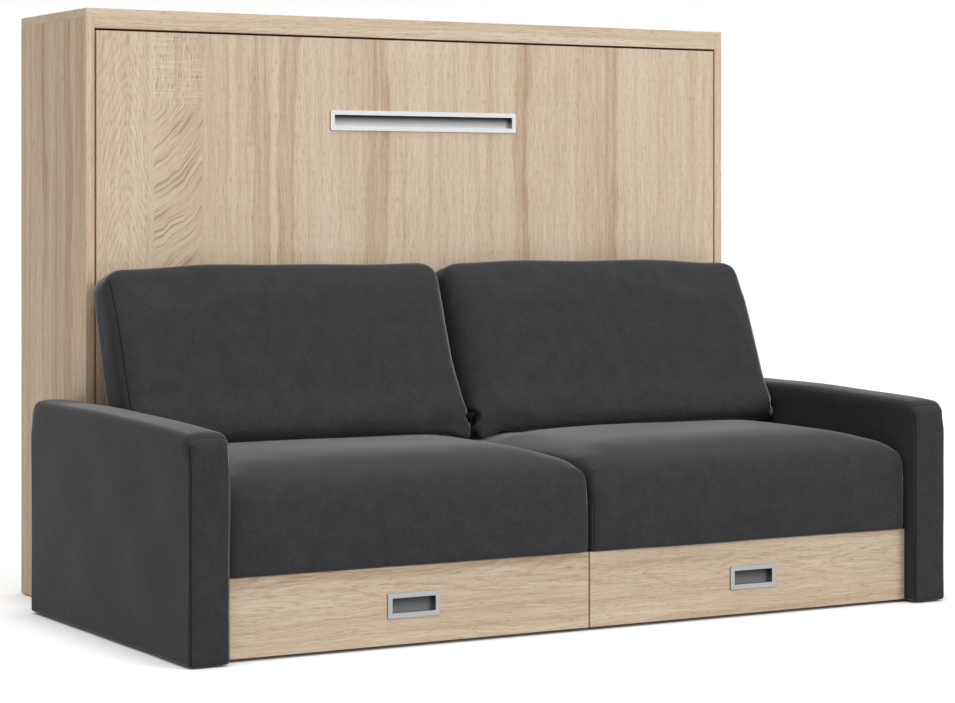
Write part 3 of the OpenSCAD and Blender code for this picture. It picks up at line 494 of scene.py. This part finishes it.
def ticks(low, high, pitch, edge):
    """Grid places along one side, close together over its rounded ends."""
    ends = [edge * (1 - math.tan(math.radians(turn))) for turn in TICK_TURNS_DEG]
    inner = high - low - 2 * edge
    count = max(2, round(inner / pitch))
    middle = [low + edge + inner * i / count for i in range(count + 1)]
    return [low + e for e in ends] + middle + [high - e for e in reversed(ends)]


def skin(name, low, high, pitch, edge, radius):
    """Closed skin of quads over a box, its edges rounded by radius(points), its grid close there by edge."""
    low, high = np.array(low, float), np.array(high, float)
    sides = [ticks(low[i], high[i], pitch, edge) for i in range(3)]
    last = [len(side) - 1 for side in sides]
    index, faces = {}, []
    for axis in range(3):
        a, b = (axis + 1) % 3, (axis + 2) % 3
        for end in (0, last[axis]):
            for i in range(last[a]):
                for j in range(last[b]):
                    corners = []
                    for step_i, step_j in ((0, 0), (1, 0), (1, 1), (0, 1)):
                        key = [0, 0, 0]
                        key[axis], key[a], key[b] = end, i + step_i, j + step_j
                        corners.append(index.setdefault(tuple(key), len(index)))
                    faces.append(corners if end else corners[::-1])
    points = np.array([[sides[i][key[i]] for i in range(3)] for key in index])
    rounding = radius(points)[:, None]
    core = np.clip(points, low + rounding, high - rounding)
    way = points - core
    points = core + rounding * way / np.maximum(np.linalg.norm(way, axis=1), 1e-9)[:, None]
    mesh = bpy.data.meshes.new(name)
    mesh.from_pydata(points.tolist(), [], faces)
    mesh.update()
    return link_object(name, mesh)


def round_corner(points, axes, corner, ways, radius):
    """Round one corner of a slab, seen along its third axis."""
    sides = list(zip(axes, corner, ways))
    out = np.stack([(points[:, axis] - place) * way + radius for axis, place, way in sides], 1)
    near = (out > 0).all(axis=1)
    share = np.where(near, out.max(axis=1) / np.maximum(np.linalg.norm(out, axis=1), 1e-9), 1)
    for i, (axis, place, way) in enumerate(sides):
        points[:, axis] = np.where(near, place + way * (out[:, i] * share - radius), points[:, axis])


def averaged(mesh, values, rounds):
    """values of the points, each averaged with its neighbours' some times over."""
    ends = np.empty(len(mesh.edges) * 2, int)
    mesh.edges.foreach_get("vertices", ends)
    first, second = ends.reshape(-1, 2).T
    count = np.bincount(ends, minlength=len(values))[:, None]
    for _ in range(rounds):
        total = np.zeros_like(values)
        np.add.at(total, first, values[second])
        np.add.at(total, second, values[first])
        values = NOW * values + NEIGHBOURS * total / count
    return values


def swell(obj, held, cap, rounds):
    """Blow the skin up from inside with cloth, the held points fixed and no point moved by more than cap."""
    rest, out = points_of(obj.data), normals_of(obj.data)
    group = obj.vertex_groups.new(name="held")
    group.add([int(i) for i in np.flatnonzero(held)], 1.0, "REPLACE")
    cloth_sim = obj.modifiers.new("cloth", "CLOTH")
    cloth_sim.settings.use_pressure = True
    cloth_sim.settings.uniform_pressure_force = PRESSURE
    cloth_sim.settings.effector_weights.gravity = 0
    cloth_sim.settings.vertex_group_mass = group.name
    cloth_sim.settings.tension_stiffness = STIFFNESS
    cloth_sim.settings.compression_stiffness = STIFFNESS
    cloth_sim.point_cache.frame_start = 1
    cloth_sim.point_cache.frame_end = FRAMES
    for number in range(1, FRAMES + 1):
        bpy.context.scene.frame_set(number)
    blown = obj.evaluated_get(bpy.context.evaluated_depsgraph_get())
    move = points_of(blown.data) - rest
    outward = (move * out).sum(axis=1, keepdims=True)
    move = SIDEWAYS_SHARE * move + out * (np.maximum(outward, 0) - SIDEWAYS_SHARE * outward)
    far = np.linalg.norm(move, axis=1, keepdims=True)
    move = averaged(obj.data, move * cap * np.tanh(far / cap) / np.maximum(far, 1e-9), rounds)
    place_points(obj.data, rest + move)
    obj.modifiers.remove(cloth_sim)
    obj.vertex_groups.clear()
    bpy.context.scene.frame_set(1)


def refine(obj):
    """One subdivision, applied."""
    obj.modifiers.new("finer", "SUBSURF").levels = 1
    finer = bpy.data.meshes.new_from_object(obj.evaluated_get(bpy.context.evaluated_depsgraph_get()))
    obj.modifiers.clear()
    obj.data = finer
    finer.shade_smooth()


def stretched(values, low, high):
    """values moved evenly so that they reach from low to high."""
    return low + (values - values.min()) * (high - low) / (values.max() - values.min())


def ripple(points, seed, length, height):
    """Soft unevenness of about that wave length and height, the same at each run."""
    chance = np.random.default_rng(seed)
    total = np.zeros(len(points))
    for _ in range(WAVES):
        way = chance.normal(size=3)
        wave = way / np.linalg.norm(way) * 2 * math.pi / (length * chance.uniform(0.7, 1.4))
        total += np.sin(points @ wave + chance.uniform(0, 2 * math.pi))
    return total * height / WAVES ** 0.5


def mark(mesh, name, values):
    mesh.attributes.new(name, "FLOAT", "POINT").data.foreach_set("value", values.astype(np.float32))


def twin(obj, name):
    """Mirror image over the middle of the object."""
    mesh = obj.data.copy()
    place_points(mesh, points_of(mesh) * (-1, 1, 1))
    mesh.flip_normals()
    return link_object(name, mesh)


def settle(obj, node, body, finish):
    """Give a soft piece its body, the node that it stands for and its finish."""
    dress(obj, finish)
    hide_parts(node)
    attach(obj, body)


def end_seams(points, low, high, inset):
    """Signed distance from the seams that run round a piece a little in from its two ends."""
    return np.abs(points[:, 0] - (low[0] + high[0]) / 2) - ((high[0] - low[0]) / 2 - inset)


def make_arm():
    """Slab arm: foam and cloth stretched tight over its frame, its top falling a little to the front."""
    low, high = corners_of("arm_right")
    side_r, top_r, top_from, top_to = 0.009, 0.024, 0.10, 0.03
    rear_r, front_r = 0.036, 0.034
    seam_in, seam_near, seam_top = 0.004, 0.005, 0.05
    fall, level_rear, fall_from, fall_to = 0.021, 0.25, 0.16, 0.02
    side_play, stitch_from, stitch_to = 0.0005, 0.045, 0.060

    def radius(points):
        return side_r + (top_r - side_r) * smooth_step(points[:, 2], high[2] - top_from, high[2] - top_to)

    arm = skin("arm_cover", low, high, ARM_GRID, ARM_TICKS, radius)
    points = points_of(arm.data)
    round_corner(points, (1, 2), (high[1], high[2]), (1, 1), rear_r)
    round_corner(points, (1, 2), (low[1], high[2]), (-1, 1), front_r)
    place_points(arm.data, points)
    at_seam = np.abs(end_seams(points, low, high, seam_in)) < seam_near
    held = (points[:, 2] < low[2] + FOOT) | (at_seam & (points[:, 2] < high[2] - seam_top))
    swell(arm, held, ARM_CAP, 2)
    refine(arm)
    points = points_of(arm.data)
    bend_y = high[1] - level_rear
    forward = np.clip((bend_y - points[:, 1]) / (bend_y - low[1]), 0, 1)
    points[:, 2] -= fall * forward ** 2 * smooth_step(points[:, 2], high[2] - fall_from, high[2] - fall_to)
    place_points(arm.data, points)

    def limit(points):
        points[:, 0] = np.clip(points[:, 0], low[0] - side_play, high[0] + ARM_CAP)
        points[:, 2] = np.maximum(points[:, 2], low[2])
        return points

    def seam(points):
        share = smooth_step(points[:, 2], high[2] - stitch_from, high[2] - stitch_to)
        return end_seams(points, low, high, seam_in), share

    return arm, limit, seam


def make_seat(rest_y):
    """Tall seat cushion, crowned, pressed down where the back cushion stands on it from rest_y on."""
    low, high = corners_of("seat_cushion_right")
    arm_play, inset, proud = 0.0020, 0.006, 0.014
    end_r, front_r, rear_r = 0.058, 0.085, 0.060
    inner_upright_r, outer_upright_r = 0.022, 0.030
    crown_reach, end_drop, front_drop = 0.26, 0.008, 0.014
    ease_rounds, ease_from, ease_to = 12, 0.18, 0.09
    rear_drop, rear_from = 0.030, 0.10
    pressed_by, press_soft = 0.015, 0.025
    front_play, rear_play = 0.003, 0.002
    seam_in, stitch_from, stitch_to = 0.010, 0.25, 0.35
    low[0], high[0] = MIDDLE_PLAY, high[0] + arm_play
    middle, half = (low + high) / 2, (high - low) / 2
    front_y = low[1] + inset

    def radius(points):
        return np.full(len(points), SEAT_EDGE)

    seat = skin("seat_cover", low + (0, inset, 0), high, SEAT_GRID, SEAT_EDGE, radius)
    points = points_of(seat.data)
    for end, way in ((low[0], -1), (high[0], 1)):
        round_corner(points, (0, 2), (end, high[2]), (way, 1), end_r)
    round_corner(points, (1, 2), (front_y, high[2]), (-1, 1), front_r)
    round_corner(points, (1, 2), (high[1], high[2]), (1, 1), rear_r)
    for end, way, upright_r in ((low[0], -1, inner_upright_r), (high[0], 1, outer_upright_r)):
        round_corner(points, (0, 1), (end, front_y), (way, -1), upright_r)
    inside = half - np.abs(points - middle)
    ends = 1 - smooth_step(inside[:, 0], 0, crown_reach)
    front = np.where(points[:, 1] < middle[1], 1 - smooth_step(inside[:, 1], 0, crown_reach), 0)
    rise = np.clip(rise_of(points, low, high), 0, 1)
    points[:, 2] -= rise * np.maximum(end_drop * ends, front_drop * front)
    eased = averaged(seat.data, points, ease_rounds)
    soft = smooth_step(points[:, 2], high[2] - ease_from, high[2] - ease_to)[:, None]
    points += (eased - points) * soft
    place_points(seat.data, points)
    pressed = (inside[:, 0] < inset) & (points[:, 2] < high[2] - end_r)
    swell(seat, pressed | (points[:, 2] < low[2] + FOOT), SEAT_CAP, 10)
    refine(seat)
    points = points_of(seat.data)
    for axis, (start, end) in enumerate(((low[0], high[0]), (low[1] - proud, high[1]), (low[2], high[2]))):
        points[:, axis] = stretched(points[:, axis], start, end)
    rise = np.clip(rise_of(points, low, high), 0, 1)
    points[:, 2] -= rise * rear_drop * smooth_step(points[:, 1], middle[1] + rear_from, high[1])
    top = high[2] - pressed_by * smooth_step(points[:, 1], rest_y - press_soft, rest_y)
    points[:, 2] = np.minimum(points[:, 2], top)
    place_points(seat.data, points)

    def limit(points):
        points[:, 0] = np.clip(points[:, 0], low[0], high[0])
        points[:, 1] = np.clip(points[:, 1], low[1] - proud - front_play, high[1] + rear_play)
        points[:, 2] = np.maximum(points[:, 2], low[2])
        return points

    def seam(points):
        share = smooth_step(points[:, 1], middle[1] + stitch_from, middle[1] + stitch_to)
        return end_seams(points, low, high, seam_in), share

    return seat, limit, seam


def lean(points, pivot, angle):
    """Turn points about the back cushion's pivot line."""
    y, z = points[:, 1] - pivot[0], points[:, 2] - pivot[1]
    turned = points.copy()
    turned[:, 1] = pivot[0] + y * math.cos(angle) - z * math.sin(angle)
    turned[:, 2] = pivot[1] + y * math.sin(angle) + z * math.cos(angle)
    return turned


def hinge_clear(points, pivot):
    """0 beside the hinge of a back cushion and its steel lug, 1 away from them."""
    lug_r, flange_y, flange_z, clear_from, clear_to = 0.0155, 0.085, 0.050, 0.0005, 0.0065
    y, z = points[:, 1] - pivot[0], points[:, 2] - pivot[1]
    lug = np.hypot(np.minimum(y, 0), z) - lug_r
    flange = np.maximum(flange_y - y, z - flange_z)
    return smooth_step(np.minimum(lug, flange), clear_from, clear_to)


def inner_end(points, pivot, low):
    """Where the inner end of a back cushion may reach: less far beside the hinge and the bracket plate."""
    bracket_play, plate_from, plate_to = 0.0038, 0.070, 0.090
    far = np.hypot(points[:, 1] - pivot[0], points[:, 2] - pivot[1])
    play = bracket_play + (MIDDLE_PLAY - bracket_play) * smooth_step(far, plate_from, plate_to)
    return low[0] + (play - low[0]) * hinge_clear(points, pivot)


def tucked(points, low, high):
    """How far the inner end draws in: above its belly, and less at its lowest corner."""
    tuck, corner_share = 0.010, 0.6
    height = rise_of(points, low, high)
    upper = smooth_step(height, 0.24, 0.46) * smooth_step(height, 0.97, 0.62)
    return tuck * np.maximum(upper, corner_share * smooth_step(height, 0.05, -0.03))


def make_rest(pivot):
    """Back cushion on its board, made upright and later leant back."""
    board = lean(points_of(nodes["back_board_right"].data), pivot, REST_LEAN)
    body = lean(points_of(nodes["back_cushion_right"].data), pivot, REST_LEAN)
    board_play, under, inset, top_inset = 0.003, 0.012, 0.010, 0.004
    # Edge radii: at the foot, what the inner end has less there, what is added further up, and more at the
    # inner end, and at the rear
    foot_r, inner_less, up_more, inner_more, rear_r = 0.018, 0.011, 0.012, REST_EDGE - 0.030, 0.009
    foot_high, inner_from, inner_to, rear_from, rear_to = 0.16, 0.35, 0.10, 0.06, 0.03
    inner_top_r, outer_top_r = 0.036, 0.050
    hang, hang_in, hang_high, scoop, scoop_high = 0.020, 0.09, 0.10, 0.045, 0.20
    taper, taper_power, taper_rate = 0.017, 1.6, 1.4
    ease_rounds, ease_from, ease_to, ease_rear = 5, 0.14, 0.07, 0.02
    rear_held, foot_held = 0.008, 0.006
    outer_play, front_play = 0.004, 0.002
    tuck_share, tuck_from, tuck_to = 0.4, 0.085, 0.025
    stretch_down, crown = 0.020, 0.018
    drop, drop_share, drop_high = 0.011, 0.35, 0.20
    # The belly: how far it goes out, from which depth on, and its four heights over the pivot
    belly_out, belly_from, belly_to = 0.006, 0.040, 0.004
    belly_foot, belly_low, belly_high, belly_top = -0.055, 0.005, 0.020, 0.095
    seam_in, seam_fade, seam_x = 0.015, 0.05, 0.5
    low, high = body.min(axis=0), body.max(axis=0)
    high[1] = board[:, 1].max() - board_play
    low[2] -= under

    def radius(points):
        up = smooth_step(points[:, 2], low[2], low[2] + foot_high)
        inward = smooth_step(points[:, 0], low[0] + inner_from, low[0] + inner_to)
        front = foot_r - inner_less * inward * (1 - up) + (up_more + inner_more * inward) * up
        return front + (rear_r - front) * smooth_step(points[:, 1], high[1] - rear_from, high[1] - rear_to)

    rest = skin("rest_cover", low + (0, inset, 0), high - (0, 0, top_inset), REST_GRID, REST_EDGE, radius)
    points = points_of(rest.data)
    for way, end, corner_r in ((-1, low[0], inner_top_r), (1, high[0], outer_top_r)):
        round_corner(points, (0, 2), (end, high[2] - top_inset), (way, 1), corner_r)
    deep = np.clip((points[:, 1] - low[1]) / (high[1] - low[1]), 0, 1)
    at_end = smooth_step(points[:, 0], low[0] + hang_in, low[0])
    points[:, 2] -= hang * at_end * smooth_step(points[:, 2], low[2] + hang_high, low[2])
    points[:, 2] += scoop * deep * np.clip(1 - (points[:, 2] - low[2]) / scoop_high, 0, 1)
    high_up = np.clip(rise_of(points, low, high) * taper_rate - (taper_rate - 1), 0, 1)
    points[:, 1] += taper * (1 - deep) * high_up ** taper_power
    eased = averaged(rest.data, points, ease_rounds)
    soft = smooth_step(points[:, 2], high[2] - ease_from, high[2] - ease_to)
    soft = soft * smooth_step(points[:, 1], high[1], high[1] - ease_rear)
    points += (eased - points) * soft[:, None]
    place_points(rest.data, points)
    held = (points[:, 1] > high[1] - rear_held) | (points[:, 2] < low[2] + foot_held)
    swell(rest, held, REST_CAP, 10)
    refine(rest)
    points = points_of(rest.data)
    middle = (low[0] + high[0]) / 2
    share = (points[:, 0] - middle) / max(middle - points[:, 0].min(), points[:, 0].max() - middle)
    inner = inner_end(points, pivot, low)
    outer = high[0] + outer_play * hinge_clear(points, pivot)
    points[:, 0] = np.where(share < 0, middle + share * (middle - inner), middle + share * (outer - middle))
    fore = smooth_step(points[:, 1], low[1] + tuck_from, low[1] + tuck_to)
    points[:, 0] += tucked(points, low, high) * smooth_step(share, -tuck_share, -1) * fore
    points[:, 2] = stretched(points[:, 2], low[2] - stretch_down, high[2] + crown)
    outward = smooth_step(share, drop_share, 1)
    points[:, 2] -= drop * outward * smooth_step(points[:, 2], high[2] - drop_high, high[2])
    place_points(rest.data, points)

    def limit(points):
        outer = high[0] + outer_play * hinge_clear(points, pivot)
        points[:, 0] = np.clip(points[:, 0], inner_end(points, pivot, low), outer)
        points[:, 1] = np.clip(points[:, 1], low[1] - front_play, high[1])
        up = points[:, 2] - pivot[1]
        belly = smooth_step(up, belly_foot, belly_low) * smooth_step(up, belly_top, belly_high)
        points[:, 1] -= belly_out * belly * smooth_step(points[:, 1], low[1] + belly_from, low[1] + belly_to)
        return points

    def seam(points):
        share = (points[:, 0] > seam_x) * smooth_step(points[:, 2], high[2], high[2] - seam_fade)
        return end_seams(points, (MIDDLE_PLAY,), high, seam_in), share

    return rest, limit, seam


def make_mattress():
    """Foam mattress with a quilted cover, pressed down under its straps."""
    low, high = corners_of("mattress")
    inset, held_deep, quilt_pitch, quilt_deep, face_from, face_to = 0.006, 0.004, 0.16, 0.006, 0.03, 0.01
    strap_rise, strap_from, strap_to, under_strap, top_play = 0.010, 0.006, 0.060, 0.0015, 0.0085

    def radius(points):
        return np.full(len(points), BED_EDGE)

    bed = skin("mattress_soft", low, high - (0, inset, 0), BED_GRID, BED_EDGE, radius)
    points = points_of(bed.data)
    swell(bed, points[:, 1] < low[1] + held_deep, BED_CAP, 4)
    refine(bed)
    points = points_of(bed.data)
    sleep = smooth_step(points[:, 1], high[1] - face_from, high[1] - face_to)
    across, along_z = points[:, 0] * math.pi / quilt_pitch, points[:, 2] * math.pi / quilt_pitch
    diamond = np.abs(np.sin(across + along_z) * np.sin(across - along_z))
    points[:, 1] -= sleep * quilt_deep * (1 - np.sqrt(diamond))
    strap = np.abs(points_of(nodes["mattress_straps"].data)[:, 0])
    side = np.abs(points[:, 0])
    off_strap = np.maximum(strap.min() - side, side - strap.max())
    top = high[1] + strap_rise * smooth_step(off_strap, strap_from, strap_to) - under_strap
    points = np.clip(points, low, high + (0, top_play, 0))
    points[:, 1] = np.minimum(points[:, 1], top)
    place_points(bed.data, points)
    return bed


def soft_pieces():
    """Make the soft pieces, left and right, and put them in the place of their solids."""
    pivot = next(j for j in frame["joints"] if j["name"] == "back_rest_right_fold")["pos_m"][1:]
    press_ahead = 0.058     # how far before the pivot a back cushion presses its seat
    # Kind, its piece, wave length and height of its unevenness, how full the padding is
    kinds = (
        ("arm", make_arm(), 0.35, 0.0008, 0.35),
        ("seat_cushion", make_seat(pivot[0] - press_ahead), 0.42, 0.0012, 0.8),
        ("back_cushion", make_rest(pivot), 0.33, 0.0020, 0.75),
    )
    for kind, (made, limit, seam), length, height, fill in kinds:
        for side, piece, way in (("left", twin(made, kind), (-1, 1, 1)), ("right", made, (1, 1, 1))):
            piece.name = f"{kind}_soft_{side}"
            points = points_of(piece.data)
            points += normals_of(piece.data) * ripple(points, len(kind) + way[0], length, height)[:, None]
            place_points(piece.data, limit(points * way) * way)
            points = points_of(piece.data)
            distance, share = seam(points * way)
            sunk = SEAM_DEEP * share * np.exp(-(distance / SEAM_WIDE) ** 2)
            points -= normals_of(piece.data) * sunk[:, None]
            # Seam distance and share for the cloth, which paints shade along each seam line
            mark(piece.data, "seam", distance)
            mark(piece.data, "seam_shade_and_bump", share)
            if kind == "back_cushion":
                points = lean(points, pivot, -REST_LEAN)
            place_points(piece.data, points)
            body = f"back_rest_{side}" if kind == "back_cushion" else "cabinet"
            settle(piece, f"{kind}_{side}", body, SOFA_CLOTH)
    settle(make_mattress(), "mattress", "bed", TICKING)


soft_pieces()


# ---- Studio ----

FLOOR_HALF = 30.0
FLOOR_GREY = (0.62, 0.62, 0.62, 1)
# White glow of the floor seen by the camera, the reach of the painted contact shadow that dims it near the object,
# and its samples
FLOOR_GLOW, FLOOR_PAINTED_SHADOW_REACH, FLOOR_SAMPLES = 0.48, 0.12, 8
WORLD_LIGHT = 0.26
# Name, direction that the light comes from, angle that softens its shadows, strength, colour
LAMPS = (
    ("key", (0.45, -0.80, 0.40), 25, 1.43, (1, 1, 1)),
    ("overhead", (-0.05, -0.20, 0.97), 50, 2.3, (1, 1, 1)),
    ("side_fill", (-0.85, -0.45, 0.30), 40, 0.22, (1.0, 0.88, 0.72)),
)
LAMP_FAR = 10


def seen(g):
    """1 for camera, glossy and transmission rays, 0 for the light that falls on the object."""
    rays = g.add("ShaderNodeLightPath").outputs
    return g.larger(rays["Is Camera Ray"], g.larger(rays["Is Glossy Ray"], rays["Is Transmission Ray"]))


def stage_floor():
    """Pale floor that looks white to the camera and keeps the object's shadow, its glow dimmed near the object as
    a painted contact shadow.
    """
    corners = [(x * FLOOR_HALF, y * FLOOR_HALF, 0) for x, y in ((-1, -1), (1, -1), (1, 1), (-1, 1))]
    mesh = bpy.data.meshes.new("floor")
    mesh.from_pydata(corners, [], [(0, 1, 2, 3)])
    floor = link_object("floor", mesh)
    g = material("floor_white")
    diffuse = g.add("ShaderNodeBsdfDiffuse", {"Color": FLOOR_GREY})
    # Ambient occlusion dims the glow under and beside the object: a painted contact shadow
    glow_left_by_painted_shadow = g.add(
        "ShaderNodeAmbientOcclusion", {"Distance": FLOOR_PAINTED_SHADOW_REACH}, samples=FLOOR_SAMPLES).outputs["AO"]
    strength = g.times(g.times(seen(g), FLOOR_GLOW), glow_left_by_painted_shadow)
    glow = g.add("ShaderNodeEmission", {"Color": WHITE, "Strength": strength})
    both = g.add("ShaderNodeAddShader", {0: diffuse.outputs[0], 1: glow.outputs[0]})
    g.add("ShaderNodeOutputMaterial", {"Surface": both.outputs[0]})
    dress(floor, g.owner)


def world_light():
    """White studio: full white where it is seen, softer where it lights the object."""
    world = bpy.data.worlds.new("studio")
    bpy.context.scene.world = world
    g = Graph(world)
    level = g.add("ShaderNodeMapRange", {"Value": seen(g), "To Min": WORLD_LIGHT, "To Max": 1.0}).outputs[0]
    back = g.add("ShaderNodeBackground", {"Color": WHITE, "Strength": level})
    g.add("ShaderNodeOutputWorld", {"Surface": back.outputs[0]})


def sunlight(name, towards, angle_deg, strength, colour):
    """Even light from one direction, its shadows softened by its angle."""
    data = bpy.data.lights.new(name, "SUN")
    data.angle = math.radians(angle_deg)
    data.energy = strength
    data.color = colour
    made = link_object(name, data)
    made.location = Vector(towards) * LAMP_FAR
    made.rotation_euler = Vector(towards).to_track_quat("Z", "Y").to_euler()


def photo_camera():
    """Level camera of the photograph, its frame shifted down as in the photograph."""
    data = bpy.data.cameras.new("photo_camera")
    data.sensor_width = SENSOR_MM
    data.lens = FOCAL_PX / PHOTO_W * SENSOR_MM
    data.shift_y = (HORIZON_PX - PHOTO_H / 2) / PHOTO_W
    data.clip_end = CLIP_END
    camera = link_object("photo_camera", data)
    camera.location = CAMERA_PLACE
    camera.rotation_euler = (math.radians(90), 0, -math.radians(YAW_DEG))
    bpy.context.scene.camera = camera


photo_camera()
stage_floor()
world_light()
for lamp in LAMPS:
    sunlight(*lamp)
bpy.context.scene.view_settings.view_transform = "Standard"
